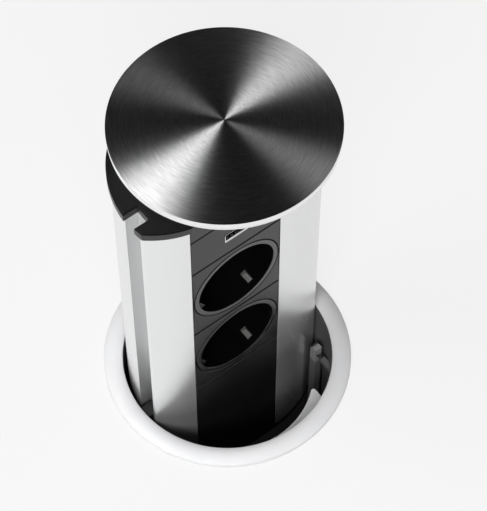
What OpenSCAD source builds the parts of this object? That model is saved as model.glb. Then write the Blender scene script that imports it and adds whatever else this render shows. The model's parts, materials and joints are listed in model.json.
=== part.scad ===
// Pop up desk socket: a round lift-up tower with two earthed sockets and a charging port,
// sliding in a sleeve that clamps into a hole in the desk top.
// Millimetres. Origin at the centre of the desk hole, level with the desk top.
// +Z is up, the sockets face -Y. The model is drawn with the tower raised.

/* [Desk fitting] */
// Depth of the sleeve below the desk top
sleeve_depth = 80; // [76:1:110]
// Gap all round between the lid and the flange opening
lid_gap = 2; // [1.5:0.1:3]
// Wall of the sleeve
sleeve_wall = 1.7; // [1.4:0.1:2.5]
// Width of the trim ring outside the desk hole
flange_w = 7.1; // [6.5:0.1:10]
// Height of the trim ring above the desk top
trim_h = 4.0; // [3.7:0.1:5]
// Radius of the trim ring's domed top
trim_dome_r = 7.5; // [7:0.5:12]
// Thickness of the sleeve's own flange under the trim ring
sleeve_flange_t = 1.0; // [0.8:0.1:1.2]
// Thickness of the seal between the flange and the desk
seal_t = 0.8; // [0.5:0.1:1]
// Length of the plain collar above the thread
collar_h = 12; // [10:0.5:14]
// Pitch of the clamp thread
thread_pitch = 4; // [3:0.5:5]
// Depth of the clamp thread
thread_h = 0.5; // [0.3:0.1:0.7]
// Thickness of the desk top that the clamp is set to
desk_t = 25; // [15:1:45]
// Wall of the clamp nut
nut_wall = 5.8; // [4:0.1:9]
// Height of the clamp nut
nut_h = 14; // [10:1:18]
// Thickness of the clamp washer
washer_t = 2.5; // [2:0.5:4]

/* [Guides] */
// Height of the light shelf inside the opening, below the desk top
shelf_drop = 17; // [14:1:20]
// Width of the shelf, from the sleeve inward
shelf_w = 8.4; // [6:0.1:10]
// Length of the shelf across the opening
shelf_len = 55; // [44:1:58]
// Thickness of the shelf
shelf_t = 4; // [3:0.5:6]
// Distance of the guide post's inner side outside the groove floor
post_out = 0.5; // [0.2:0.1:0.8]
// Width of the guide post and its catch
post_w = 3.8; // [3.4:0.1:4.2]
// Depth of the guide post and its catch
catch_len = 4; // [3.6:0.1:4.2]
// Distance of the catch below the desk top
catch_drop = 16; // [12:1:20]
// Height of the catch block
catch_h = 11; // [9:0.5:12]
// Travel of the catch as it is pushed aside
catch_travel = 2; // [1.5:0.1:2.2]

/* [Tower] */
// Radius of the tower's round back
tower_r = 46.8; // [42:0.1:53]
// Distance of the flat front from the tower's axis
front = 16.1; // [15:0.1:17]
// Distance of the end of each front shoulder inside the tower's side
shoulder_in = 0.6; // [0.5:0.1:1.2]
// Distance of the end of each front shoulder in front of the axis
shoulder_end = 7.3; // [6.8:0.1:8]
// Curve radius of the left front shoulder
shoulder_r = 40; // [36:1:60]
// Width of the guide grooves in the tower's sides
groove_w = 10.2; // [8:0.2:11]
// Depth of the guide grooves
groove_depth = 7.3; // [6.3:0.1:7.8]
// Wall of the aluminium profile
wall = 2.2; // [1.8:0.1:2.4]
// Height of the raised tower's lower end above the sleeve's lower end
tower_lift = 14; // [10:1:20]
// Thickness of the base cap
base_t = 4; // [3:0.5:6]
// Thickness of the top cap
cap_t = 4.2; // [3.4:0.1:6]
// Overhang of the top cap past the profile
cap_over = 1.4; // [1:0.1:1.6]
// Inset of the top cap's upper step
cap_step = 0.6; // [0.3:0.1:1]

/* [Lid] */
// Height of the lid's rim above the desk top when raised
lid_rise = 192; // [186:1:215]
// Overhang of the lid past the tower
lid_lip = 0.2; // [0:0.1:0.8]
// Height of the lid's edge
lid_edge = 4; // [3:0.1:5]
// Height of the lid's crown over its rim
lid_crown = 2.4; // [1.5:0.1:4]
// Thickness of the carrier plate under the lid
carrier_t = 1.4; // [1:0.1:2]
// Finger gap between the lid and the top cap
finger_gap = 22.5; // [18:0.5:26]
// Radius of the neck under the lid
neck_r = 20; // [15:0.5:21]
// Distance of the neck behind the tower's axis
neck_back = 12; // [10:0.5:14]

/* [Socket strip] */
// Distance from the left groove floor to the strip
strip_margin = 9.75; // [9:0.05:11]
// Width of the strip's opening in the profile
strip_w = 46.5; // [46.2:0.1:47.5]
// Thickness of the strip's plates
plate_t = 3; // [2.5:0.1:3.5]
// Width of the seams between the plates
seam = 0.8; // [0.4:0.1:1]
// Height of the filler above the charging port
filler_h = 10.5; // [8:0.5:14]
// Height of the charging port's plate
usb_h = 25.25; // [22:0.25:30]
// Height of each socket plate over the strip's width
socket_over = 4; // [3:0.5:7]
// Depth of the socket well
well_depth = 17.5; // [17:0.1:18.5]
// Distance from the well insert to the strip's edge
insert_rim = 1.15; // [1.05:0.05:1.5]
// Wall of the well insert
insert_wall = 2.3; // [2:0.1:2.8]
// Thickness of the well's floor
floor_t = 2.5; // [2:0.1:3.5]
// Turn of each socket's pin line from level, in degrees
socket_tilt = 30; // [0:1:45]
// Difference between the well's radius and the distance between the two pin holes
pin_margin = 0.8; // [0:0.1:1.5]
// Radius of the pin holes
pin_hole_r = 2.6; // [2.5:0.05:2.8]

/* [Hidden] */
$fn = 96;

// Clearances
slide_gap = 0.4;
rest_gap = 0.3;
fit_gap = 0.1;
bond_gap = 0.05;
eps = 0.5;

// Sockets, from the strip's edge inward
socket_h = strip_w + socket_over;
insert_r = strip_w / 2 - insert_rim;
well_r = insert_r - insert_wall;
pin_pitch = well_r - pin_margin;

// Levels
lid_bottom = lid_rise - lid_edge;
cap_top = lid_bottom - finger_gap;
tower_top = cap_top - cap_t;
tower_bottom = tower_lift - sleeve_depth;
base_bottom = tower_bottom - base_t;
usb_top = tower_top - filler_h;
socket_top = usb_top - usb_h;
blank_top = socket_top - 2 * socket_h;
usb_z = usb_top - usb_h / 2;
upper_z = socket_top - socket_h / 2;
lower_z = upper_z - socket_h;
key_top = -rest_gap;
key_bottom = tower_bottom + rest_gap;

// Radii from the tower outward
lid_r = tower_r + lid_lip;
bore_r = lid_r + lid_gap;
sleeve_r = bore_r + sleeve_wall;
trim_r = sleeve_r + flange_w;
nut_r = sleeve_r + nut_wall;
shelf_r = bore_r - shelf_w;
shoulder_x = tower_r - shoulder_in;
groove_floor = tower_r - groove_depth;
post_x = groove_floor + post_out;

// Sleeve and flange
thread_root_r = sleeve_r - thread_h;
flange_top = seal_t + sleeve_flange_t;
trim_wall = 1.2;
flange_r = trim_r - trim_wall;
seal_r = flange_r - trim_wall / 2;
nut_top = -desk_t - washer_t - fit_gap;
nut_lugs = 8;
nut_lug_r = 4;
nut_lug_sink = 1;
washer_rim = 1;
running_gap = 0.05;

// Shelf, guide post and catch
shelf_round = 1.2;
post_up = 2;
post_bottom = -sleeve_depth + post_up;
post_foot_h = 12;
catch_top = -catch_drop;
catch_bottom = catch_top - catch_h;
post_top = catch_bottom - rest_gap;
catch_nose = 1.6;
catch_wedge = 1.5;
catch_back_gap = 1;
seat_w = 2.6;
seat_h = 2.8;
catch_mid = catch_bottom + catch_h / 2;
pocket_wall = 0.55;
spring_room = 0.2;
spring_wire_r = 0.25;
spring_bore_r = post_w / 2 - pocket_wall;
spring_r = spring_bore_r - spring_room - spring_wire_r;
spring_turns = 4;

// Strip
strip_left = strip_margin - groove_floor;
strip_right = strip_left + strip_w;
strip_x = strip_left + strip_w / 2;
ledge_w = 0.9;
ledge_t = 1.5;
rib_t = 2;
rib_depth = 7;
plate_w = strip_w - 2 * fit_gap;
port_r = 3.3;
port_bore_r = 1.5;
port_root = 0.5;
port_side = groove_floor - wall - port_r + port_root;
port_y = 5;
port_back_angle = 55;
port_back_r = tower_r - wall - port_r + port_root;
port_screw_len = 12;
port_head_r = 2.9;
port_head_h = 1.5;
ports = [
    for (side = [-1, 1]) [side * port_side, port_y],
    for (side = [-1, 1]) [side * port_back_r * cos(port_back_angle), port_back_r * sin(port_back_angle)]
];

// Top cap, neck and its screws
cap_lip = 0.5;
neck_flange_t = 2;
neck_foot_w = 5;
neck_head_w = 8;
neck_foot_r = neck_r + neck_foot_w;
neck_head_r = neck_r + neck_head_w;
lid_screw_ring = neck_r + neck_head_w / 2;
lid_screw_count = 3;
lid_screw_r = 1.2;
lid_head_r = 2.4;
lid_head_h = 1.2;
lid_screw_bite = 0.7;
lid_groove = 0.6;

// Socket, with depths behind the strip's front plane
insert_gap = 0.35;
well_rib_w = 5;
well_rib_h = 1.3;
floor_back = well_depth + floor_t;
chamber = 2;
block_front = floor_back + chamber;
block_len = 19;
block_back = block_front + block_len;
block_step = 0.6;
block_r = insert_r - block_step;
chamber_wall = 1.8;
chamber_r = block_r - chamber_wall;
contact_len = 16;
contact_r = 3.4;
contact_floor = 2;
pin_r = 2.4;
tail_r = 1.6;
tail_over = 0.4;
clip_t = 0.8;
clip_w = 6;
clip_skin = 0.6;
clip_in = well_r + clip_skin + rest_gap;
clip_r = clip_in + clip_t;
clip_tip = plate_t + 2 * rest_gap;
nose_w = 2.4;
nose_len = 5.4;
nose_crest = 4.2;
nose_out = 1;
nose_r = well_r - nose_out;
bar_t = 1;
bar_w = 6;
earth_front = block_back + clip_t;
bar_gap = 2;
bar_front = block_back + bar_gap;
shutter_t = 1.5;
shutter_w = 9;
shutter_travel = 5.8;
shutter_hole_r = pin_hole_r + 2 * fit_gap;
shutter_margin = 0.3;

// Charging port
usb_w = 11.8;
usb_t = 4.4;
usb_skin = 0.35;
usb_len = 14;
tongue_w = 10.2;
tongue_t = 1.4;
tongue_gap = 0.3;
tongue_start = 1;
usb_box_gap = 0.35;
usb_box_margin = 1.3;
usb_box_w = strip_w - 2 * ledge_w - 2 * usb_box_gap;
usb_box_h = usb_h - 2 * usb_box_margin;
usb_box_wall = 1.5;
board_t = 1.6;
winding_x = -9;
winding_size = [15, 14, 12];
can_x = 10;
can_r = 5;
can_len = 14;

// Terminal block and cable gland
block_w = 28;
block_d = 12;
block_h = 18;
bar_end = 6;
gland_r = 8;
gland_bore_r = 4.6;
gland_top = 8;
gland_hex_r = 11;
gland_nut_r = 10.5;
gland_hex_h = 6;
gland_drop = 14;
gland_seal_h = 4;
gland_end = 4;
locknut_h = 4;

// Helpers

// Centre of the circle of radius r through p and q, on the left of the way from p to q
function arc_centre(p, q, r) =
    let (d = q - p, len = norm(d), m = (p + q) / 2, up = [-d[1], d[0]] / len)
    m + up * sqrt(r * r - len * len / 4);

// Radius of the circle that touches the front at strip_right and ends at the right shoulder
right_dx = shoulder_x - strip_right;
right_dy = front - shoulder_end;
right_r = (right_dx * right_dx + right_dy * right_dy) / (2 * right_dy);
right_centre = [strip_right, right_r - front];
left_centre = arc_centre([-shoulder_x, -shoulder_end], [strip_left, -front], shoulder_r);

// Distance of the top cap's right shoulder in front of the axis, at x
function cap_skin(x) = sqrt(pow(right_r + cap_over, 2) - pow(x - right_centre[0], 2)) - right_centre[1];

post_tip = cap_skin(post_x) + slide_gap;
spring_seat = post_tip + catch_len + catch_travel + catch_back_gap;
spring_start = post_tip + catch_nose;

// Everything behind the tower's front: a flat middle and two curved shoulders
module front_limit(inset) {
    reach = 2 * tower_r;
    translate([strip_left, inset - front]) square([strip_w, reach]);
    intersection() {
        translate(left_centre) circle(r = shoulder_r - inset);
        translate([strip_left - reach, -reach]) square([reach, 2 * reach]);
    }
    intersection() {
        translate(right_centre) circle(r = right_r - inset);
        translate([strip_right, -reach]) square([reach, 2 * reach]);
    }
}

// Tower seen from above, without its grooves
module tower_blank(inset = 0) {
    intersection() {
        circle(r = tower_r - inset);
        front_limit(inset);
    }
}

// Tower seen from above, with its grooves
module tower_outline(inset = 0) {
    difference() {
        tower_blank(inset);
        for (side = [-1, 1])
            translate([side * (groove_floor + tower_r / 2 - inset), 0])
                square([tower_r, groove_w + 2 * inset], center = true);
    }
}

// Solid of revolution about Z between two radii and two levels
module ring(r_in, r_out, z_low, z_high) {
    translate([0, 0, z_low])
        difference() {
            cylinder(r = r_out, h = z_high - z_low);
            translate([0, 0, -eps]) cylinder(r = r_in, h = z_high - z_low + 2 * eps);
        }
}

// Frame on the strip: X along the strip's width, Y down, Z inward from the front plane
module on_strip(z) {
    translate([strip_x, -front, z]) rotate([-90, 0, 0]) children();
}

// The same frame turned so that X lies along the socket's pin line
module in_socket(z) {
    on_strip(z) rotate([0, 0, -socket_tilt]) children();
}

// Box centred in X and Y, from depth a to depth b
module slab(w, h, a, b) {
    translate([-w / 2, -h / 2, a]) cube([w, h, b - a]);
}

// Flat plate of the strip, from depth 0 to its thickness
module strip_plate(h) {
    slab(plate_w, h - seam, 0, plate_t);
}

// Screw with a flat head: head top at z = 0, shank down
module screw(head_r, head_h, shank_r, len) {
    translate([0, 0, -head_h]) cylinder(r = head_r, h = head_h);
    translate([0, 0, -len]) cylinder(r = shank_r, h = len - head_h + eps);
}

// Round wire along a helix about Z, from z = 0 to h
module coil(r, wire_r, turns, h) {
    steps = 12;
    sides = 6;
    count = turns * steps;
    function ring_point(i, j) =
        let (a = 360 * i / steps, b = 360 * j / sides, rr = r + wire_r * cos(b))
        [rr * cos(a), rr * sin(a), wire_r + (h - 2 * wire_r) * i / count + wire_r * sin(b)];
    points = [for (i = [0:count], j = [0:sides - 1]) ring_point(i, j)];
    skin = [
        for (i = [0:count - 1], j = [0:sides - 1])
        let (a = i * sides + j, b = i * sides + (j + 1) % sides, c = a + sides, d = b + sides)
        each [[a, b, d], [a, d, c]]
    ];
    ends = [[for (j = [0:sides - 1]) sides - 1 - j], [for (j = [0:sides - 1]) count * sides + j]];
    polyhedron(points = points, faces = concat(skin, [for (f = ends) [for (k = [sides - 1:-1:0]) f[k]]]));
}

// Desk fitting

module trim_ring() {
    mid_r = (trim_r + bore_r) / 2;
    color("silver")
        rotate_extrude()
            difference() {
                intersection() {
                    translate([bore_r, 0]) square([trim_r - bore_r, trim_h]);
                    translate([mid_r, trim_h - trim_dome_r]) circle(r = trim_dome_r);
                }
                translate([bore_r - eps, -eps])
                    square([flange_r + bond_gap - bore_r + eps, flange_top + bond_gap + eps]);
            }
}

// Block in line with the guide post, from a distance in front of the axis outward
module post_block(near, depth, low, high, width = post_w) {
    translate([post_x + (post_w - width) / 2, -near - depth, low]) cube([width, depth, high - low]);
}

module guide_sleeve() {
    ridge_count = floor((sleeve_depth - collar_h) / thread_pitch);
    color([0.22, 0.22, 0.23]) {
        ring(bore_r, flange_r, seal_t, flange_top);
        ring(bore_r, sleeve_r, -collar_h, 0);
        ring(bore_r, sleeve_r - fit_gap, -eps, seal_t + eps / 2);
        ring(bore_r, thread_root_r, -sleeve_depth, -collar_h + eps);
        for (i = [1:ridge_count])
            ring(bore_r, sleeve_r, -collar_h - i * thread_pitch, -collar_h - (i - 0.5) * thread_pitch);
        intersection() {
            translate([0, 0, -sleeve_depth]) cylinder(r = bore_r + fit_gap, h = sleeve_depth);
            union() {
                post_block(post_tip, catch_len, post_bottom, post_top);
                post_block(post_tip, bore_r, post_bottom, post_bottom + post_foot_h);
                post_block(spring_seat, bore_r, catch_mid - seat_h / 2, catch_mid + seat_h / 2, seat_w);
            }
        }
    }
}

module flange_seal() {
    color([0.13, 0.13, 0.13]) ring(sleeve_r, seal_r, 0, seal_t);
}

// Outline that cuts the shelf to length and rounds its inner corners
module shelf_span() {
    round_x = shelf_len / 2 - shelf_round;
    round_y = sqrt(pow(shelf_r + shelf_round, 2) - round_x * round_x);
    touch_x = round_x * shelf_r / (shelf_r + shelf_round);
    for (side = [-1, 1])
        translate([side * round_x, -round_y]) circle(r = shelf_round);
    translate([-shelf_len / 2, -bore_r]) square([shelf_len, bore_r - round_y]);
    translate([-touch_x, -bore_r]) square([2 * touch_x, bore_r]);
}

module front_shelf() {
    color([0.86, 0.86, 0.87])
        translate([0, 0, -shelf_drop - shelf_t])
            linear_extrude(shelf_t)
                intersection() {
                    difference() {
                        circle(r = bore_r - bond_gap);
                        circle(r = shelf_r);
                    }
                    shelf_span();
                }
}

// Key that runs in one of the tower's grooves and carries the lowered lid
module guide_key(side) {
    key_x = groove_floor + cap_over + slide_gap;
    key_w = groove_w - 2 * cap_over - 2 * slide_gap;
    color([0.1, 0.1, 0.1])
        translate([0, 0, key_bottom])
            linear_extrude(key_top - key_bottom)
                intersection() {
                    circle(r = bore_r - bond_gap);
                    translate([side > 0 ? key_x : -bore_r, -key_w / 2]) square([bore_r - key_x, key_w]);
                }
}

module guide_key_left() { guide_key(-1); }
module guide_key_right() { guide_key(1); }

// Spring catch on top of the guide post, with a sloped top edge towards the tower
module catch_block() {
    color([0.45, 0.45, 0.47])
        difference() {
            post_block(post_tip, catch_len, catch_bottom, catch_top);
            translate([post_x - eps, -post_tip, catch_top - catch_wedge])
                rotate([45, 0, 0]) cube([post_w + 2 * eps, catch_len, catch_len]);
            translate([post_x + post_w / 2, -spring_start, catch_mid])
                rotate([90, 0, 0]) cylinder(r = spring_bore_r, h = catch_len);
        }
}

module catch_spring() {
    color("silver")
        translate([post_x + post_w / 2, -spring_start - bond_gap, catch_mid])
            rotate([90, 0, 0])
                coil(spring_r, spring_wire_r, spring_turns, spring_seat - spring_start - 2 * bond_gap);
}

module clamp_washer() {
    color([0.55, 0.56, 0.58])
        ring(sleeve_r + running_gap, nut_r + washer_rim, -desk_t - washer_t, -desk_t);
}

module clamp_nut() {
    color([0.12, 0.12, 0.13])
        translate([0, 0, nut_top - nut_h])
            linear_extrude(nut_h)
                difference() {
                    union() {
                        circle(r = nut_r);
                        for (i = [0:nut_lugs - 1])
                            rotate((i + 0.5) * 360 / nut_lugs)
                                translate([nut_r - nut_lug_sink, 0]) circle(r = nut_lug_r);
                    }
                    circle(r = sleeve_r + running_gap);
                }
}

// Tower

module tower_profile() {
    color([0.8, 0.81, 0.82])
        translate([0, 0, tower_bottom])
            linear_extrude(tower_top - tower_bottom)
                difference() {
                    union() {
                        difference() {
                            tower_outline();
                            intersection() {
                                tower_blank(wall);
                                square([2 * (groove_floor - wall), 2 * tower_r], center = true);
                            }
                            translate([strip_left, -front - eps]) square([strip_w, wall + 2 * eps]);
                        }
                        for (side = [0, 1])
                            translate([side > 0 ? strip_right : strip_left - rib_t, wall / 2 - front])
                                square([rib_t, rib_depth - wall / 2]);
                        for (side = [0, 1])
                            translate([side > 0 ? strip_right - ledge_w : strip_left - eps, plate_t - front])
                                square([ledge_w + eps, ledge_t]);
                        for (p = ports) translate(p) circle(r = port_r);
                    }
                    for (p = ports) translate(p) circle(r = port_bore_r);
                }
}

// Holes for the screws that go into the profile's ports, with a recess for each head
module port_holes(h) {
    for (p = ports) translate([p[0], p[1], 0]) {
        translate([0, 0, -eps]) cylinder(r = port_bore_r + fit_gap, h = h + 2 * eps);
        translate([0, 0, h - port_head_h - fit_gap])
            cylinder(r = port_head_r + fit_gap, h = port_head_h + eps);
    }
}

// Screws in the profile's ports, with their heads level with z = 0
module port_screws() {
    for (p = ports) translate([p[0], p[1], -bond_gap])
        screw(port_head_r, port_head_h, port_bore_r - bond_gap, port_screw_len);
}

module top_cap() {
    color([0.09, 0.09, 0.1])
        translate([0, 0, tower_top])
            difference() {
                union() {
                    linear_extrude(cap_t - cap_lip) tower_outline(-cap_over);
                    linear_extrude(cap_t) tower_outline(cap_step - cap_over);
                }
                port_holes(cap_t);
            }
}

module cap_screws() {
    color("silver") translate([0, 0, cap_top]) port_screws();
}

// Places of the screws between the neck and the lid's carrier, at the carrier's underside
module at_lid_screws() {
    for (i = [0:lid_screw_count - 1])
        translate([0, neck_back, lid_bottom])
            rotate([0, 0, 90 + i * 360 / lid_screw_count]) translate([lid_screw_ring, 0, 0]) children();
}

// Neck under the lid: a post with a flange at each end
module lid_neck() {
    color([0.08, 0.08, 0.09])
        difference() {
            translate([0, neck_back, cap_top]) {
                cylinder(r = neck_r, h = finger_gap);
                cylinder(r = neck_foot_r, h = neck_flange_t);
                translate([0, 0, finger_gap - neck_flange_t]) cylinder(r = neck_head_r, h = neck_flange_t);
            }
            at_lid_screws()
                translate([0, 0, -neck_flange_t - eps])
                    cylinder(r = lid_screw_r + fit_gap, h = neck_flange_t + 2 * eps);
        }
}

module lid_screws() {
    color("silver")
        at_lid_screws()
            translate([0, 0, -neck_flange_t - lid_head_h])
                mirror([0, 0, 1])
                    screw(lid_head_r, lid_head_h, lid_screw_r,
                        lid_head_h + neck_flange_t + lid_screw_bite);
}

// Plate under the lid, with a shadow groove below the lid's edge
module lid_carrier() {
    color([0.75, 0.75, 0.76])
        difference() {
            translate([0, 0, lid_bottom]) {
                cylinder(r = lid_r - lid_groove / 3, h = carrier_t - rest_gap);
                cylinder(r = lid_r - lid_groove, h = carrier_t);
            }
            at_lid_screws()
                translate([0, 0, -eps])
                    cylinder(r = lid_screw_r + fit_gap, h = lid_screw_bite + rest_gap + eps);
        }
}

// Turned metal disc with a slightly domed top
module lid() {
    dome_r = (lid_r * lid_r + lid_crown * lid_crown) / (2 * lid_crown);
    low = lid_bottom + carrier_t;
    color([0.72, 0.72, 0.73])
        rotate_extrude($fn = 180)
            intersection() {
                translate([0, low]) square([lid_r, lid_edge + lid_crown]);
                translate([0, lid_rise + lid_crown - dome_r]) circle(r = dome_r, $fn = 720);
            }
}

module base_cap() {
    color([0.09, 0.09, 0.1])
        translate([0, 0, tower_bottom])
            mirror([0, 0, 1])
                difference() {
                    linear_extrude(base_t) tower_blank();
                    translate([0, 0, -eps]) cylinder(r = gland_r + fit_gap, h = base_t + 2 * eps);
                    port_holes(base_t);
                }
}

module base_screws() {
    color("silver") translate([0, 0, base_bottom]) mirror([0, 0, 1]) port_screws();
}

// Cable gland through the base cap

module gland_body() {
    low = base_bottom - gland_drop;
    color([0.14, 0.14, 0.15])
        difference() {
            union() {
                translate([0, 0, low]) cylinder(r = gland_r, h = tower_bottom + gland_top - low);
                translate([0, 0, base_bottom - gland_hex_h])
                    cylinder(r = gland_hex_r, h = gland_hex_h, $fn = 6);
            }
            translate([0, 0, low - eps])
                cylinder(r = gland_bore_r, h = tower_bottom + gland_top - low + 2 * eps);
        }
}

module gland_locknut() {
    color([0.14, 0.14, 0.15])
        translate([0, 0, tower_bottom])
            difference() {
                cylinder(r = gland_hex_r, h = locknut_h, $fn = 6);
                translate([0, 0, -eps]) cylinder(r = gland_r + bond_gap, h = locknut_h + 2 * eps);
            }
}

gland_low = base_bottom - gland_drop - gland_seal_h - gland_end;

module gland_seal() {
    top = base_bottom - gland_drop - bond_gap;
    color([0.2, 0.2, 0.2]) ring(gland_bore_r, gland_r - bond_gap, top - gland_seal_h + 2 * bond_gap, top);
}

module gland_nut() {
    top = base_bottom - gland_hex_h - rest_gap;
    color([0.14, 0.14, 0.15])
        difference() {
            union() {
                translate([0, 0, gland_low + gland_end])
                    cylinder(r = gland_nut_r, h = top - gland_low - gland_end);
                translate([0, 0, gland_low]) cylinder(r1 = gland_r, r2 = gland_nut_r, h = gland_end);
            }
            translate([0, 0, gland_low - eps]) cylinder(r = gland_bore_r, h = gland_end + 2 * eps);
            translate([0, 0, gland_low + gland_end]) cylinder(r = gland_r + bond_gap, h = top - gland_low);
        }
}

// Socket strip: plates

module filler_plate() {
    color([0.1, 0.1, 0.105]) on_strip(tower_top - filler_h / 2) strip_plate(filler_h);
}

module blank_plate() {
    blank_h = blank_top - tower_bottom;
    color([0.1, 0.1, 0.105]) on_strip(blank_top - blank_h / 2) strip_plate(blank_h);
}

// Charging port

module usb_plate() {
    color([0.1, 0.1, 0.105])
        on_strip(usb_z)
            difference() {
                strip_plate(usb_h);
                slab(usb_w + 2 * rest_gap, usb_t + 2 * rest_gap, -eps, plate_t + eps);
            }
}

module usb_shell() {
    color("silver")
        on_strip(usb_z)
            difference() {
                slab(usb_w, usb_t, fit_gap, usb_len);
                slab(usb_w - 2 * usb_skin, usb_t - 2 * usb_skin, -eps, usb_len - usb_skin);
            }
}

module usb_tongue() {
    color([0.1, 0.1, 0.105])
        on_strip(usb_z)
            translate([0, -usb_t / 2 + usb_skin + tongue_gap + tongue_t / 2, 0])
                slab(tongue_w, tongue_t, tongue_start, usb_len - usb_skin);
}

module usb_housing() {
    color([0.12, 0.12, 0.125])
        on_strip(usb_z)
            difference() {
                slab(usb_box_w, usb_box_h, plate_t, bar_front);
                slab(usb_box_w - 2 * usb_box_wall, usb_box_h - 2 * usb_box_wall, 0, bar_front - usb_box_wall);
            }
}

module usb_board() {
    color([0.05, 0.3, 0.12])
        on_strip(usb_z)
            slab(usb_box_w - 2 * usb_box_wall - 2 * fit_gap, usb_box_h - 2 * usb_box_wall - 2 * fit_gap,
                usb_len, usb_len + board_t);
}

// Wound transformer and a capacitor can on the board
module usb_transformer() {
    start = usb_len + board_t;
    color([0.75, 0.6, 0.12])
        on_strip(usb_z) {
            translate([winding_x, 0, start]) slab(winding_size[0], winding_size[1], 0, winding_size[2]);
            translate([can_x, 0, start]) cylinder(r = can_r, h = can_len);
        }
}

// Sockets

module socket_plate(z) {
    color([0.1, 0.1, 0.105])
        on_strip(z)
            difference() {
                strip_plate(socket_h);
                translate([0, 0, -eps]) cylinder(r = insert_r + insert_gap, h = plate_t + 2 * eps);
            }
}

module at_pins() {
    for (side = [-1, 1]) translate([side * pin_pitch / 2, 0, 0]) children();
}

// Grooves round the outside for the earth clip's blades, between two depths
module clip_grooves(a, b) {
    low = clip_in - rest_gap;
    high = insert_r + eps;
    for (side = [-1, 1])
        translate([0, side * (low + high) / 2, 0]) slab(clip_w + 2 * rest_gap, high - low, a, b + eps);
}

// Windows in the well's wall for the earth clip's noses
module clip_windows() {
    low = nose_r - eps;
    for (side = [-1, 1])
        translate([0, side * (low + clip_in) / 2, 0])
            slab(nose_w + 2 * rest_gap, clip_in - low, clip_tip - rest_gap, clip_tip + nose_len + rest_gap);
}

// Bent nose of one blade, which stands into the well
module clip_nose() {
    root = clip_in + clip_t / 2;
    translate([-nose_w / 2, 0, clip_tip])
        rotate([90, 0, 90])
            linear_extrude(nose_w)
                polygon([[root, 0], [well_r, 0], [nose_r, nose_crest], [root, nose_len]]);
}

module socket_insert(z) {
    rib_in = well_r - well_rib_h;
    color([0.07, 0.07, 0.075])
        in_socket(z)
            difference() {
                union() {
                    difference() {
                        cylinder(r = insert_r, h = floor_back);
                        translate([0, 0, -eps]) cylinder(r = well_r, h = well_depth + eps);
                    }
                    for (side = [-1, 1])
                        translate([side > 0 ? rib_in : -well_r - eps, -well_rib_w / 2, plate_t])
                            cube([well_rib_h + eps, well_rib_w, well_depth - plate_t + eps]);
                }
                at_pins() translate([0, 0, well_depth - eps]) cylinder(r = pin_hole_r, h = floor_t + 2 * eps);
                clip_grooves(clip_tip - rest_gap, floor_back);
                clip_windows();
            }
}

// Sprung earth strap: two blades with noses in the well, joined behind the contact housing
module earth_clip(z) {
    color("silver")
        in_socket(z) {
            for (side = [0, 1])
                mirror([0, side, 0]) {
                    translate([-clip_w / 2, clip_in, clip_tip])
                        cube([clip_w, clip_t, block_back + clip_t - clip_tip]);
                    clip_nose();
                }
            slab(clip_w, 2 * clip_r, block_back, block_back + clip_t);
        }
}

// Plate that covers the pin holes until a plug pushes it aside
module shutter(z) {
    low = -pin_pitch / 2 - shutter_travel - shutter_hole_r - shutter_margin;
    high = pin_pitch / 2 + pin_hole_r + shutter_margin;
    color([0.8, 0.8, 0.78])
        in_socket(z)
            translate([0, 0, floor_back + (chamber - shutter_t) / 2])
                difference() {
                    translate([low, -shutter_w / 2, 0]) cube([high - low, shutter_w, shutter_t]);
                    translate([-shutter_travel, 0, -eps])
                        at_pins() cylinder(r = shutter_hole_r, h = shutter_t + 2 * eps);
                }
}

module contact_housing(z) {
    color([0.16, 0.16, 0.17])
        in_socket(z)
            difference() {
                translate([0, 0, floor_back]) cylinder(r = block_r, h = block_back - floor_back);
                translate([0, 0, floor_back - eps]) cylinder(r = chamber_r, h = chamber + eps);
                at_pins() {
                    translate([0, 0, block_front - eps])
                        cylinder(r = contact_r + fit_gap, h = contact_len + rest_gap + eps);
                    translate([0, 0, block_front]) cylinder(r = tail_r + fit_gap, h = block_len + eps);
                }
                clip_grooves(floor_back - eps, block_back);
            }
}

module pin_contacts(z) {
    start = block_front + rest_gap;
    color([0.8, 0.62, 0.25])
        in_socket(z)
            at_pins()
                difference() {
                    union() {
                        translate([0, 0, start]) cylinder(r = contact_r, h = contact_len - rest_gap);
                        translate([0, 0, start])
                            cylinder(r = tail_r, h = bar_front + bar_t + tail_over - start);
                    }
                    translate([0, 0, start - eps]) cylinder(r = pin_r, h = contact_len - contact_floor + eps);
                }
}

module socket_plate_upper() { socket_plate(upper_z); }
module socket_plate_lower() { socket_plate(lower_z); }
module socket_insert_upper() { socket_insert(upper_z); }
module socket_insert_lower() { socket_insert(lower_z); }
module earth_clip_upper() { earth_clip(upper_z); }
module earth_clip_lower() { earth_clip(lower_z); }
module shutter_upper() { shutter(upper_z); }
module shutter_lower() { shutter(lower_z); }
module contact_housing_upper() { contact_housing(upper_z); }
module contact_housing_lower() { contact_housing(lower_z); }
module pin_contacts_upper() { pin_contacts(upper_z); }
module pin_contacts_lower() { pin_contacts(lower_z); }

// Wiring bars

bar_low = tower_bottom + bar_end;
pin_dx = pin_pitch / 2 * cos(socket_tilt);
pin_dz = pin_pitch / 2 * sin(socket_tilt);

// Upright bar from the terminal block up past a level, drilled for the contact tails
module busbar(dx, dz, top) {
    color([0.8, 0.5, 0.25])
        difference() {
            translate([strip_x + dx - bar_w / 2, bar_front - front, bar_low])
                cube([bar_w, bar_t, top - bar_low]);
            for (z = [upper_z, lower_z])
                on_strip(z + dz)
                    translate([dx, 0, bar_front - eps]) cylinder(r = tail_r + bond_gap, h = bar_t + 2 * eps);
        }
}

module busbar_line() { busbar(pin_dx, pin_dz, usb_z); }
module busbar_neutral() { busbar(-pin_dx, -pin_dz, usb_z); }

module busbar_earth() {
    color([0.75, 0.55, 0.3])
        translate([strip_x - bar_w / 2, earth_front - front, bar_low])
            cube([bar_w, bar_t, upper_z + bar_w - bar_low]);
}

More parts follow.
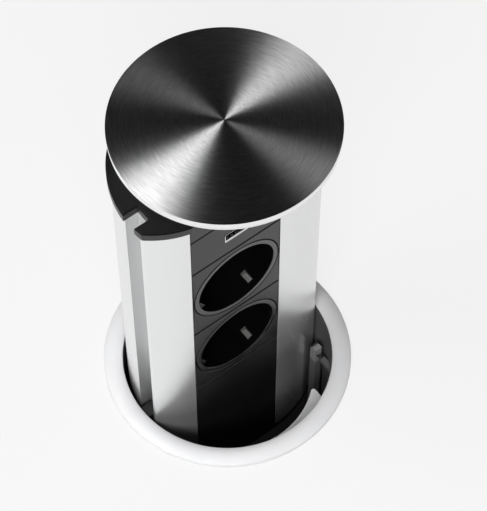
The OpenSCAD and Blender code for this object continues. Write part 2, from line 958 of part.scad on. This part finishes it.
module terminal_block() {
    back = bar_front - front;
    color([0.85, 0.85, 0.82])
        difference() {
            translate([strip_x - block_w / 2, back - block_d / 2, tower_bottom])
                cube([block_w, block_d, block_h]);
            for (dx = [-pin_dx, pin_dx])
                translate([strip_x + dx - bar_w / 2 - fit_gap, back - fit_gap, bar_low - fit_gap])
                    cube([bar_w + 2 * fit_gap, bar_t + 2 * fit_gap, block_h]);
            translate([strip_x - bar_w / 2 - fit_gap, earth_front - front - fit_gap, bar_low - fit_gap])
                cube([bar_w + 2 * fit_gap, bar_t + 2 * fit_gap, block_h]);
            for (dx = [-pin_dx, 0, pin_dx])
                translate([strip_x + dx, back + bar_t + fit_gap, bar_low + block_h / 3])
                    rotate([-90, 0, 0]) cylinder(r = tail_r + fit_gap, h = block_d);
        }
}

module terminal_screws() {
    back = bar_front - front;
    color("silver")
        for (dx = [-pin_dx, 0, pin_dx])
            translate([strip_x + dx, back + bar_t + 2 * fit_gap, bar_low + block_h / 3])
                rotate([-90, 0, 0]) cylinder(r = tail_r, h = block_d / 2 - bar_t - 4 * fit_gap);
}

trim_ring();
guide_sleeve();
flange_seal();
front_shelf();
guide_key_left();
guide_key_right();
catch_block();
catch_spring();
clamp_washer();
clamp_nut();
tower_profile();
top_cap();
cap_screws();
lid_neck();
lid_carrier();
lid();
lid_screws();
base_cap();
base_screws();
gland_body();
gland_locknut();
gland_nut();
gland_seal();
filler_plate();
usb_plate();
usb_shell();
usb_tongue();
usb_housing();
usb_board();
usb_transformer();
socket_plate_upper();
socket_plate_lower();
socket_insert_upper();
socket_insert_lower();
earth_clip_upper();
earth_clip_lower();
shutter_upper();
shutter_lower();
contact_housing_upper();
contact_housing_lower();
pin_contacts_upper();
pin_contacts_lower();
busbar_line();
busbar_neutral();
busbar_earth();
terminal_block();
terminal_screws();
blank_plate();
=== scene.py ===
"""Looks of a pop up desk socket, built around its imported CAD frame.

Finishes for every CAD node, small fittings that the solids leave out, the desk top, the light and the camera.
Lengths are written in millimetres and turned into metres with MM.
"""

import json
import math

import bmesh
import bpy
from mathutils import Euler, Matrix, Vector


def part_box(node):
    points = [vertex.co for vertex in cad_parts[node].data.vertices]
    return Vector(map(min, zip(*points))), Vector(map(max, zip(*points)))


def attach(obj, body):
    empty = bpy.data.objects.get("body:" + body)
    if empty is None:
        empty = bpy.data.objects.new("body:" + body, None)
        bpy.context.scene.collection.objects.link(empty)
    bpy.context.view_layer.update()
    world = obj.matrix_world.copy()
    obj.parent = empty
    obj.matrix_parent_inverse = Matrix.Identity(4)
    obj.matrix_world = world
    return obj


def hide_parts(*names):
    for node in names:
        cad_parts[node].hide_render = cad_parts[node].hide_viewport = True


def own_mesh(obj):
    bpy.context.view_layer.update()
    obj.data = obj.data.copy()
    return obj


MM = 0.001
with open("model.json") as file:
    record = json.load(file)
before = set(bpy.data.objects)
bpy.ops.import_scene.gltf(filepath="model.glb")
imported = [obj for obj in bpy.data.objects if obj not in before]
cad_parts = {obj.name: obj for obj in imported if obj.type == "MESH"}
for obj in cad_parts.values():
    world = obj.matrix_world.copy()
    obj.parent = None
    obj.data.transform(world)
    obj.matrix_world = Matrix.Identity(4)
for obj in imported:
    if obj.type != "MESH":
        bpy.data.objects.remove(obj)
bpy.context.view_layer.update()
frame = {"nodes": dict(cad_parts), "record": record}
nodes = frame["nodes"]
scene = bpy.context.scene
scene.view_settings.view_transform = "Standard"

# Camera at the photograph's viewing angle
CAMERA_AT = Vector((-286.48, -385.64, 889.57)) * MM
CAMERA_HEADING = 52.5
CAMERA_TILT = 58.966
CAMERA_LENS = 151.77
CAMERA_SENSOR = 36


def make_camera():
    data = bpy.data.cameras.new("camera")
    data.lens = CAMERA_LENS
    data.sensor_width = CAMERA_SENSOR
    camera = bpy.data.objects.new("camera", data)
    camera.location = CAMERA_AT
    camera.rotation_euler = (math.radians(90 - CAMERA_TILT), 0, math.radians(CAMERA_HEADING - 90))
    scene.collection.objects.link(camera)
    scene.camera = camera


# Node helpers for the materials

# How fast the finer parts of the noise fade, and the values that most of it lies between
NOISE_ROUGHNESS = 0.55
NOISE_SPREAD = (0.3, 0.7)


class Finish:
    """A material with one Principled shader, and short ways to drive it from object coordinates."""

    def __init__(self, name, colour, roughness, metallic, **sockets):
        self.material = bpy.data.materials.new(name)
        self.material.use_nodes = True
        self.tree = self.material.node_tree
        self.shader = self.tree.nodes["Principled BSDF"]
        # Plain values, under the textures that vary them
        self.set("Base Color", (*colour, 1))
        self.set("Roughness", roughness)
        self.set("Metallic", metallic)
        for socket, value in sockets.items():
            self.set(socket.replace("_", " "), value)
        self.place = self.node("ShaderNodeTexCoord").outputs["Object"]

    def set(self, socket, value):
        self.shader.inputs[socket].default_value = value

    def node(self, kind, **properties):
        made = self.tree.nodes.new(kind)
        for key, value in properties.items():
            setattr(made, key, value)
        return made

    def link(self, source, target):
        self.tree.links.new(source, target)

    def stretched(self, scale):
        """Object coordinates times a scale for each axis, in cycles per metre."""
        mapping = self.node("ShaderNodeMapping")
        mapping.inputs["Scale"].default_value = scale
        self.link(self.place, mapping.inputs["Vector"])
        return mapping.outputs["Vector"]

    def radius(self, scale):
        """Distance from the Z axis times a scale, in cycles per metre."""
        flat = self.stretched((scale, scale, 0))
        length = self.node("ShaderNodeVectorMath", operation="LENGTH")
        self.link(flat, length.inputs[0])
        return length.outputs["Value"]

    def turned(self, across, along):
        """Coordinates round the Z axis: cycles per metre across the rings, and per radian along them."""
        flat = self.stretched((1, 1, 0))
        unit = self.node("ShaderNodeVectorMath", operation="NORMALIZE")
        self.link(flat, unit.inputs[0])
        ring = self.node("ShaderNodeVectorMath", operation="SCALE")
        ring.inputs["Scale"].default_value = along
        self.link(unit.outputs["Vector"], ring.inputs[0])
        split = self.node("ShaderNodeSeparateXYZ")
        self.link(ring.outputs["Vector"], split.inputs[0])
        joined = self.node("ShaderNodeCombineXYZ")
        self.link(split.outputs["X"], joined.inputs["X"])
        self.link(split.outputs["Y"], joined.inputs["Y"])
        self.link(self.radius(across), joined.inputs["Z"])
        return joined.outputs["Vector"]

    def noise(self, vector, detail=3):
        texture = self.node("ShaderNodeTexNoise")
        texture.inputs["Scale"].default_value = 1
        texture.inputs["Detail"].default_value = detail
        texture.inputs["Roughness"].default_value = NOISE_ROUGHNESS
        self.link(vector, texture.inputs["Vector"])
        return texture.outputs["Fac"]

    def even_noise(self, scale, detail=3):
        """Noise that is alike in all directions, with a scale in cycles per metre."""
        return self.noise(self.stretched((scale, scale, scale)), detail)

    def between(self, factor, low, high, spread=NOISE_SPREAD):
        """A number that runs from low to high as the factor crosses the spread."""
        mapped = self.node("ShaderNodeMapRange")
        for socket, value in zip(("From Min", "From Max", "To Min", "To Max"), (*spread, low, high)):
            mapped.inputs[socket].default_value = value
        self.link(factor, mapped.inputs["Value"])
        return mapped.outputs["Result"]

    def tint(self, factor, dark, light):
        """Base colour between two colours, by a noise."""
        ramp = self.node("ShaderNodeValToRGB")
        for element, at, colour in zip(ramp.color_ramp.elements, NOISE_SPREAD, (dark, light)):
            element.position = at
            element.color = (*colour, 1)
        self.link(factor, ramp.inputs["Fac"])
        self.link(ramp.outputs["Color"], self.shader.inputs["Base Color"])

    def rough(self, factor, low, high):
        self.link(self.between(factor, low, high), self.shader.inputs["Roughness"])

    def bump(self, factor, height):
        """Relief of a height in millimetres."""
        made = self.node("ShaderNodeBump")
        made.inputs["Strength"].default_value = 1
        made.inputs["Distance"].default_value = height * MM
        self.link(factor, made.inputs["Height"])
        self.link(made.outputs["Normal"], self.shader.inputs["Normal"])

    def facing_up(self):
        """How far the surface faces up, from -1 to 1."""
        split = self.node("ShaderNodeSeparateXYZ")
        self.link(self.node("ShaderNodeNewGeometry").outputs["Normal"], split.inputs[0])
        return split.outputs["Z"]

    def plain_highlight_where(self, factor, colour):
        """One colour in place of the tint where a factor is 0, and the tint where it is 1; on the lid's rim a
        lighter grey, a painted highlight.
        """
        base = self.shader.inputs["Base Color"]
        tinted = base.links[0].from_socket
        mix = self.node("ShaderNodeMixRGB")
        mix.inputs["Color1"].default_value = (*colour, 1)
        self.link(factor, mix.inputs["Fac"])
        self.link(tinted, mix.inputs["Color2"])
        self.link(mix.outputs["Color"], base)

    def turned_grain(self):
        """Brushing that follows circles about the Z axis, for a shader with anisotropy."""
        tangent = self.node("ShaderNodeTangent", direction_type="RADIAL", axis="Z")
        self.link(tangent.outputs["Tangent"], self.shader.inputs["Tangent"])


def grey(value):
    return (value, value, value)


# Finishes, with noise scales in cycles per metre

# Turning marks on the lid, from ring to ring and, in cycles per radian, along each ring
RING_GRAIN = 2600
RING_DRIFT = 6
# Upward part of the normal where the lid's plain rim, with its painted highlight, ends and where its turned
# face begins
RIM_TO_FACE = (0.6, 0.95)
DRAW_GRAIN = (2600, 2600, 6)
PEEL_GRAIN = 2500
PAINT_CLOUD = 60
MOULD_GRAIN = 1800
MOULD_CLOUD = 45
TOOL_GRAIN = 900


def turned_steel():
    """Disc turned on a lathe: fine rings that gather light in fans, and a plain rim without turning marks
    whose lighter grey is a painted highlight.
    """
    made = Finish("turned_steel", grey(0.8), 0.38, 1, Anisotropic_Rotation=0.25)
    made.turned_grain()
    upward = made.facing_up()
    rings = made.between(upward, 0, 0.97, RIM_TO_FACE)
    made.link(rings, made.shader.inputs["Anisotropic"])
    arcs = made.noise(made.turned(RING_GRAIN, RING_DRIFT))
    made.tint(arcs, grey(0.66), grey(0.92))
    # Painted highlight: where the lid faces sideways, its rim gets a lighter grey than the turned face
    made.plain_highlight_where(made.between(upward, 0, 1, RIM_TO_FACE), grey(0.94))
    made.rough(arcs, 0.35, 0.41)
    return made.material


def satin_paint(name, colour):
    """Sprayed metal: faint orange peel and a little change in sheen."""
    made = Finish(name, colour, 0.42, 0, Specular_IOR_Level=0.4)
    peel = made.even_noise(PEEL_GRAIN, detail=2)
    cloud = made.even_noise(PAINT_CLOUD)
    made.tint(cloud, [c * 0.97 for c in colour], [c * 1.02 for c in colour])
    made.rough(peel, 0.36, 0.5)
    made.bump(peel, 0.01)
    return made.material


def drawn_aluminium():
    """Anodised extrusion: upright draw lines, satin."""
    made = Finish("drawn_aluminium", (0.80, 0.803, 0.806), 0.24, 0.78)
    lines = made.noise(made.stretched(DRAW_GRAIN))
    made.tint(lines, (0.79, 0.793, 0.796), (0.81, 0.813, 0.816))
    made.rough(lines, 0.23, 0.26)
    return made.material


def moulded(name, dark, light, low, high, relief=0.02, specular=0.35):
    """Moulded plastic or coated board with a fine texture, and a roughness from low to high."""
    made = Finish(name, dark, low, 0, Specular_IOR_Level=specular)
    fine = made.even_noise(MOULD_GRAIN)
    broad = made.even_noise(MOULD_CLOUD)
    made.tint(broad, dark, light)
    made.rough(fine, low, high)
    made.bump(fine, relief)
    return made.material


def plated(name, dark, light, low, high, metallic=1):
    """Plain or plated metal with faint tool marks, and a roughness from low to high."""
    made = Finish(name, light, low, metallic)
    marks = made.even_noise(TOOL_GRAIN, detail=4)
    made.tint(marks, dark, light)
    made.rough(marks, low, high)
    made.bump(marks, 0.004)
    return made.material


def make_finishes():
    return {
        "brushed_steel": turned_steel(),
        "trim": satin_paint("trim_paint", (0.80, 0.80, 0.81)),
        "aluminium": drawn_aluminium(),
        "black_plastic": moulded(
            "black_plastic", grey(0.006), grey(0.011), 0.32, 0.44, relief=0.012, specular=0.5
        ),
        # Socket inserts: their own glossy black, set darker than the plates as painted shade for the deep
        # wells
        "well_plastic": moulded(
            "well_plastic", grey(0.002), grey(0.003), 0.2, 0.26, relief=0.002, specular=0.8
        ),
        "grey_plastic": moulded("grey_plastic", grey(0.28), grey(0.32), 0.4, 0.55),
        "dark_plastic": moulded("dark_plastic", grey(0.15), grey(0.17), 0.4, 0.5, relief=0.006),
        "light_plastic": moulded("light_plastic", grey(0.84), grey(0.88), 0.4, 0.5, relief=0.01),
        "rubber": moulded("rubber", grey(0.02), grey(0.03), 0.7, 0.85, specular=0.2),
        "bright_steel": plated("bright_steel", grey(0.60), grey(0.74), 0.16, 0.28),
        "satin_nickel": plated("satin_nickel", (0.80, 0.79, 0.77), (0.88, 0.87, 0.85), 0.48, 0.56, 0.87),
        "brass": plated("brass", (0.66, 0.45, 0.16), (0.80, 0.58, 0.25), 0.2, 0.34),
        "copper": plated("copper", (0.62, 0.30, 0.16), (0.76, 0.42, 0.25), 0.25, 0.4),
        "board": moulded("board", (0.008, 0.07, 0.025), (0.012, 0.10, 0.035), 0.25, 0.4, relief=0.008),
        "coil": moulded("coil", (0.50, 0.34, 0.03), (0.62, 0.44, 0.05), 0.35, 0.5),
        "ivory_plastic": moulded("ivory_plastic", (0.66, 0.64, 0.57), (0.74, 0.72, 0.65), 0.35, 0.5),
    }


# CAD nodes: finish, and width of the softened edges in millimetres

EDGE = {
    "trim_ring": 0.35,
    "lid": 0.3,
    "lid_carrier": 0.4,
    "top_cap": 0.3,
    "tower_profile": 0.25,
    "socket_insert_upper": 0.5,
    "socket_insert_lower": 0.5,
    "socket_plate_upper": 0.5,
    "socket_plate_lower": 0.5,
    "usb_plate": 0.5,
    "filler_plate": 0.5,
    "blank_plate": 0.5,
    "catch_block": 0.4,
    "front_shelf": 1.0,
    "guide_key_left": 0.4,
    "guide_key_right": 0.4,
    "guide_sleeve": 0.2,
    "clamp_nut": 0.8,
    "clamp_washer": 0.3,
    "base_cap": 0.4,
    "lid_neck": 0.5,
    "gland_body": 0.3,
    "earth_clip_upper": 0.15,
    "earth_clip_lower": 0.15,
}
EDGE_ANGLE = math.radians(35)
EDGE_SEGMENTS = 3
WELD_GAP = 0.0005 * MM


def soften(piece, width):
    """Joins the triangles of a CAD mesh and rounds its sharp edges, with modifiers alone."""
    weld = piece.modifiers.new("weld", "WELD")
    weld.merge_threshold = WELD_GAP
    bevel = piece.modifiers.new("bevel", "BEVEL")
    bevel.width = width * MM
    bevel.segments = EDGE_SEGMENTS
    bevel.limit_method = "ANGLE"
    bevel.angle_limit = EDGE_ANGLE
    bevel.harden_normals = False
    bevel.use_clamp_overlap = True
    normals = piece.modifiers.new("normals", "WEIGHTED_NORMAL")
    normals.keep_sharp = False


def dress_nodes(finishes):
    for part in frame["record"]["subparts"]:
        piece = nodes[part["node"]]
        piece.data.materials.clear()
        piece.data.materials.append(finishes[part["material_slot"]])
        if part["node"] in EDGE:
            soften(piece, EDGE[part["node"]])


# Small fittings in place of plain solids


def finish_mesh(mesh, name, finishes, slot, body="tower"):
    """Turns a bmesh into a piece that rides on a body, with the finish of a record slot."""
    bmesh.ops.recalc_face_normals(mesh, faces=mesh.faces)
    data = bpy.data.meshes.new(name)
    mesh.to_mesh(data)
    mesh.free()
    piece = bpy.data.objects.new(name, data)
    scene.collection.objects.link(piece)
    data.materials.append(finishes[slot])
    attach(piece, body)
    return piece


def around(count):
    """Evenly spaced turns round a circle, each with its cosine and sine."""
    for i in range(count):
        turn = 2 * math.pi * i / count
        yield turn, math.cos(turn), math.sin(turn)


def bridge(mesh, first, second):
    """Quads between two closed rings of as many points."""
    for i in range(len(first)):
        j = (i + 1) % len(first)
        mesh.faces.new((first[i], first[j], second[j], second[i]))


def ring_edges(mesh, ring):
    edges = []
    for i in range(len(ring)):
        pair = (ring[i], ring[(i + 1) % len(ring)])
        edges.append(mesh.edges.get(pair) or mesh.edges.new(pair))
    return edges


def solids_in_plan(node, reach):
    """Corners of a node's separate solids, told apart by their distance in plan."""
    groups = []
    for vertex in nodes[node].data.vertices:
        for group in groups:
            if (vertex.co.xy - group[0].xy).length < reach:
                group.append(vertex.co)
                break
        else:
            groups.append([vertex.co])
    corners = []
    for group in groups:
        low = Vector([min(p[k] for p in group) for k in range(3)])
        high = Vector([max(p[k] for p in group) for k in range(3)])
        corners.append((low, high))
    return corners


SCREW_SIDES = 36
# Distance that tells two screws apart, and rounding of the head, in millimetres
SCREW_REACH = 6.5
SCREW_ROUND = 0.3
# Share of the rounding at its middle ring, and of the shank's radius at the root of its thread
SCREW_ROUND_MID = 0.3
THREAD_ROOT = 0.82
SCREW_TURNS = 9
# Cross recess: length and half width of its arms as shares of the head's radius
CROSS_ARM = 0.58
CROSS_WIDTH = 0.15
# Size of its floor as a share of its mouth, and its depth as a share of the head's height
CROSS_TAPER = 0.62
CROSS_DEPTH = 0.75


def circle_ring(mesh, centre, radius, height):
    ring = []
    for _, x, y in around(SCREW_SIDES):
        ring.append(mesh.verts.new((centre.x + radius * x, centre.y + radius * y, height)))
    return ring


def cross_ring(mesh, centre, radius, height):
    """Outline of a cross recess, twelve points."""
    arm, half = CROSS_ARM * radius, CROSS_WIDTH * radius
    quarter = ((half, arm), (half, half), (arm, half))
    ring = []
    for i in range(4):
        turn = -math.pi / 2 * i
        for x, y in quarter:
            spot = Vector((x, y)).to_3d()
            spot.rotate(Euler((0, 0, turn)))
            ring.append(mesh.verts.new((centre.x + spot.x, centre.y + spot.y, height)))
    return ring


def add_screw(mesh, low, high, head_h, shank_r, upright):
    """Screw with a rounded cross-recessed head and a ridged shank, in the place of a plain one."""
    centre = (low + high) / 2
    radius = (high.x - low.x) / 2
    top, sign = (high.z, -1) if upright else (low.z, 1)
    length = high.z - low.z
    edge = SCREW_ROUND * MM
    mid = edge * SCREW_ROUND_MID
    face = circle_ring(mesh, centre, radius - edge, top)
    cross = cross_ring(mesh, centre, radius, top)
    bmesh.ops.triangle_fill(mesh, edges=ring_edges(mesh, face) + ring_edges(mesh, cross), use_beauty=True)
    floor = cross_ring(mesh, centre, radius * CROSS_TAPER, top + sign * head_h * CROSS_DEPTH)
    bridge(mesh, cross, floor)
    mesh.faces.new(floor)
    steps = [(radius - mid, mid), (radius, edge), (radius, head_h), (shank_r, head_h)]
    pitch = (length - head_h) / SCREW_TURNS
    for i in range(SCREW_TURNS):
        start = head_h + i * pitch
        steps += [(shank_r * THREAD_ROOT, start + pitch / 2), (shank_r, start + pitch)]
    last = face
    for reach, depth in steps:
        ring = circle_ring(mesh, centre, reach, top + sign * depth)
        bridge(mesh, last, ring)
        last = ring
    mesh.faces.new(last)


# Each set of screws: node, head height and shank radius in millimetres, and whether the heads look up
SCREWS = [
    ("cap_screws", 1.5, 1.45, True),
    ("lid_screws", 1.2, 1.2, False),
    ("base_screws", 1.5, 1.45, False),
]


def make_screws(finishes):
    for node, head_h, shank_r, upright in SCREWS:
        mesh = bmesh.new()
        for low, high in solids_in_plan(node, SCREW_REACH * MM):
            add_screw(mesh, low, high, head_h * MM, shank_r * MM, upright)
        piece = finish_mesh(mesh, node + "_cross", finishes, "bright_steel")
        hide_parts(node)


# Cross-section of the charging port's flared lip: distance out from the shell and depth behind its front
LIP_SECTION = [
    (-0.35, 0.9), (-0.33, 0.0), (-0.28, -0.16), (-0.1, -0.2), (0.12, -0.2), (0.15, -0.14), (0.15, 0.0),
]
# How many times as far the lip stands out along its lower side
LIP_BOTTOM = 9
LIP_CORNER = 0.7
LIP_STEPS = 6
LIP_THICKNESS = 0.12


def rounded_outline(half_w, half_h, corner):
    """Points round a rectangle with rounded corners, in its own plane."""
    points = []
    for sx, sy, start in ((1, 1, 0), (-1, 1, 90), (-1, -1, 180), (1, -1, 270)):
        for i in range(LIP_STEPS + 1):
            turn = math.radians(start + 90 * i / LIP_STEPS)
            x = sx * (half_w - corner) + corner * math.cos(turn)
            points.append((x, sy * (half_h - corner) + corner * math.sin(turn)))
    return points


def make_usb_lip(finishes):
    """Thin bright lip that flares out round the charging port."""
    low, high = (Vector(corner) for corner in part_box("usb_shell"))
    centre = (low + high) / 2
    mesh = bmesh.new()
    last = None
    for out, depth in LIP_SECTION:
        outline = rounded_outline(
            (high.x - low.x) / 2 + out * MM, (high.z - low.z) / 2 + out * MM, (LIP_CORNER + out) * MM
        )
        drop = max(0, out) * (LIP_BOTTOM - 1) * MM
        ring = []
        for x, z in outline:
            spot = (centre.x + x, low.y + depth * MM, centre.z + z - (drop if z < 0 else 0))
            ring.append(mesh.verts.new(spot))
        if last:
            bridge(mesh, last, ring)
        last = ring
    piece = finish_mesh(mesh, "usb_lip", finishes, "bright_steel")
    for face in piece.data.polygons:
        face.use_smooth = True
    shell = piece.modifiers.new("shell", "SOLIDIFY")
    shell.thickness = LIP_THICKNESS * MM
    shell.offset = -1


CONTACT_COUNT = 4
CONTACT_PITCH = 2.4
CONTACT_W = 1.1
# Side view of one contact: distance behind the tongue's front and depth below its underside
CONTACT_SIDE = [(0.4, -0.1), (0.8, 0.1), (1.6, 0.2), (3.4, 0.12), (8.5, 0.12), (8.5, -0.1)]


def make_usb_contacts(finishes):
    """Four sprung contacts on the underside of the port's tongue."""
    low, high = (Vector(corner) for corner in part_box("usb_tongue"))
    mesh = bmesh.new()
    for i in range(CONTACT_COUNT):
        middle = (low.x + high.x) / 2 + (i - (CONTACT_COUNT - 1) / 2) * CONTACT_PITCH * MM
        sides = []
        for edge in (-CONTACT_W / 2, CONTACT_W / 2):
            sides.append([
                mesh.verts.new((middle + edge * MM, low.y + back * MM, low.z - drop * MM))
                for back, drop in CONTACT_SIDE
            ])
        bridge(mesh, *sides)
        for side in sides:
            mesh.faces.new(side)
    finish_mesh(mesh, "usb_contacts", finishes, "bright_steel")


# Gland nut: radius, height over its lower end, and the share of the grip flutes' depth there
GLAND_SECTION = [
    (4.6, 0, 0), (7.7, 0, 0), (8.2, 0.3, 0), (10.2, 3.7, 0.3), (10.5, 4.6, 1), (10.5, 14.6, 1),
    (10.1, 15.7, 0.5), (8.15, 15.7, 0), (8.15, 4, 0), (4.6, 4, 0),
]
GLAND_FLUTES = 14
GLAND_SIDES = GLAND_FLUTES * 10
FLUTE_DEPTH = 0.7
FLUTE_SHARPNESS = 3


def make_gland_nut(finishes):
    """Gland nut with flutes for the fingers."""
    low, high = (Vector(corner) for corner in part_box("gland_nut"))
    centre = (low + high) / 2
    mesh = bmesh.new()
    rings = []
    for radius, height, share in GLAND_SECTION:
        ring = []
        for turn, x, y in around(GLAND_SIDES):
            wave = (0.5 + 0.5 * math.cos(GLAND_FLUTES * turn)) ** FLUTE_SHARPNESS
            reach = (radius - FLUTE_DEPTH * share * wave) * MM
            ring.append(mesh.verts.new((centre.x + reach * x, centre.y + reach * y, low.z + height * MM)))
        rings.append(ring)
    for i in range(len(rings)):
        bridge(mesh, rings[i], rings[(i + 1) % len(rings)])
    piece = finish_mesh(mesh, "gland_nut_fluted", finishes, "black_plastic")
    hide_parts("gland_nut")


def make_catch_spring(finishes):
    """Coil behind the catch, a copy of the CAD spring carried by the desk fitting."""
    mesh = bmesh.new()
    mesh.from_mesh(nodes["catch_spring"].data)
    piece = finish_mesh(mesh, "catch_spring_coil", finishes, "bright_steel", "desk_fitting")
    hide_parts("catch_spring")
    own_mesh(piece)


# Desk top, light and backdrop

DESK_HOLE_R = 51.0
DESK_REACH = 4000
DESK_SIDES = 160
# Keeps the desk top off the plane of the seal's underside
DESK_DROP = 0.05
# Grey of the matt desk top, and the level and share of its plain white for the camera and for reflections
DESK_MATT = 0.8
DESK_WHITE = 0.95
DESK_GLOW_SHARE = 0.85


def make_desk():
    """Pale desk top with a round hole for the sleeve, just under the seal."""
    mesh = bmesh.new()
    inner, outer = [], []
    for _, x, y in around(DESK_SIDES):
        way = Vector((x, y, 0))
        inner.append(mesh.verts.new(way * DESK_HOLE_R * MM))
        outer.append(mesh.verts.new(way * DESK_REACH * MM))
    bridge(mesh, outer, inner)
    data = bpy.data.meshes.new("desk")
    mesh.to_mesh(data)
    mesh.free()
    desk = bpy.data.objects.new("desk", data)
    desk.location.z = -DESK_DROP * MM
    scene.collection.objects.link(desk)
    desk.data.materials.append(desk_material())


def desk_material():
    """Matt white that reads as a plain pale background, and keeps a little of the shadow."""
    material = bpy.data.materials.new("desk_white")
    material.use_nodes = True
    tree = material.node_tree
    tree.nodes.clear()
    output = tree.nodes.new("ShaderNodeOutputMaterial")
    matt = tree.nodes.new("ShaderNodeBsdfDiffuse")
    matt.inputs["Color"].default_value = (*grey(DESK_MATT), 1)
    glow = tree.nodes.new("ShaderNodeEmission")
    glow.inputs["Color"].default_value = (*grey(DESK_WHITE), 1)
    mix = tree.nodes.new("ShaderNodeMixShader")
    path = tree.nodes.new("ShaderNodeLightPath")
    seen = tree.nodes.new("ShaderNodeMath")
    seen.operation = "MAXIMUM"
    tree.links.new(path.outputs["Is Camera Ray"], seen.inputs[0])
    tree.links.new(path.outputs["Is Glossy Ray"], seen.inputs[1])
    either = tree.nodes.new("ShaderNodeMath")
    either.operation = "MAXIMUM"
    tree.links.new(seen.outputs[0], either.inputs[0])
    tree.links.new(path.outputs["Is Transmission Ray"], either.inputs[1])
    share = tree.nodes.new("ShaderNodeMath")
    share.operation = "MULTIPLY"
    share.inputs[1].default_value = DESK_GLOW_SHARE
    tree.links.new(either.outputs[0], share.inputs[0])
    tree.links.new(share.outputs[0], mix.inputs["Fac"])
    tree.links.new(matt.outputs[0], mix.inputs[1])
    tree.links.new(glow.outputs[0], mix.inputs[2])
    tree.links.new(mix.outputs[0], output.inputs["Surface"])
    return material


# Brightness of the surroundings by height above the horizon, as a sine
SKY = [(0, 0.004), (0.01, 0.93), (0.04, 0.93), (0.12, 0.008)]


def make_world():
    """Dark studio overhead and below the desk, white sweep near the horizon."""
    world = bpy.data.worlds.new("studio")
    scene.world = world
    world.use_nodes = True
    tree = world.node_tree
    background = tree.nodes["Background"]
    place = tree.nodes.new("ShaderNodeTexCoord")
    split = tree.nodes.new("ShaderNodeSeparateXYZ")
    ramp = tree.nodes.new("ShaderNodeValToRGB")
    bands = ramp.color_ramp.elements
    while len(bands) < len(SKY):
        bands.new(0.5)
    for band, (height, level) in zip(bands, SKY):
        band.position = height
        band.color = (*grey(level), 1)
    tree.links.new(place.outputs["Generated"], split.inputs[0])
    tree.links.new(split.outputs["Z"], ramp.inputs["Fac"])
    tree.links.new(ramp.outputs["Color"], background.inputs["Color"])


# Each lamp: direction from the lid, distance and size in metres, power in watts, seen in gloss or not
LAMP_CENTRE = Vector((0, 0, 0.19))
LAMPS = {
    "key": ((-0.549, 0.272, 0.79), 1.2, (0.7, 0.6), 8.5, True),
    "side": ((0.614, -0.333, 0.716), 1.2, (0.55, 0.5), 1.05, True),
    "fill": ((-0.516, -0.535, 0.669), 1.6, (0.9, 0.5), 23, False),
}


def make_lamps():
    for name, (way, distance, size, power, in_gloss) in LAMPS.items():
        data = bpy.data.lights.new(name, "AREA")
        data.shape = "RECTANGLE"
        data.size, data.size_y = size
        data.energy = power
        lamp = bpy.data.objects.new(name, data)
        way = Vector(way).normalized()
        lamp.location = LAMP_CENTRE + way * distance
        lamp.rotation_euler = way.to_track_quat("Z", "Y").to_euler()
        lamp.visible_glossy = in_gloss
        scene.collection.objects.link(lamp)


make_camera()
finishes = make_finishes()
dress_nodes(finishes)
make_screws(finishes)
make_usb_lip(finishes)
make_usb_contacts(finishes)
make_gland_nut(finishes)
make_catch_spring(finishes)
make_desk()
make_world()
make_lamps()
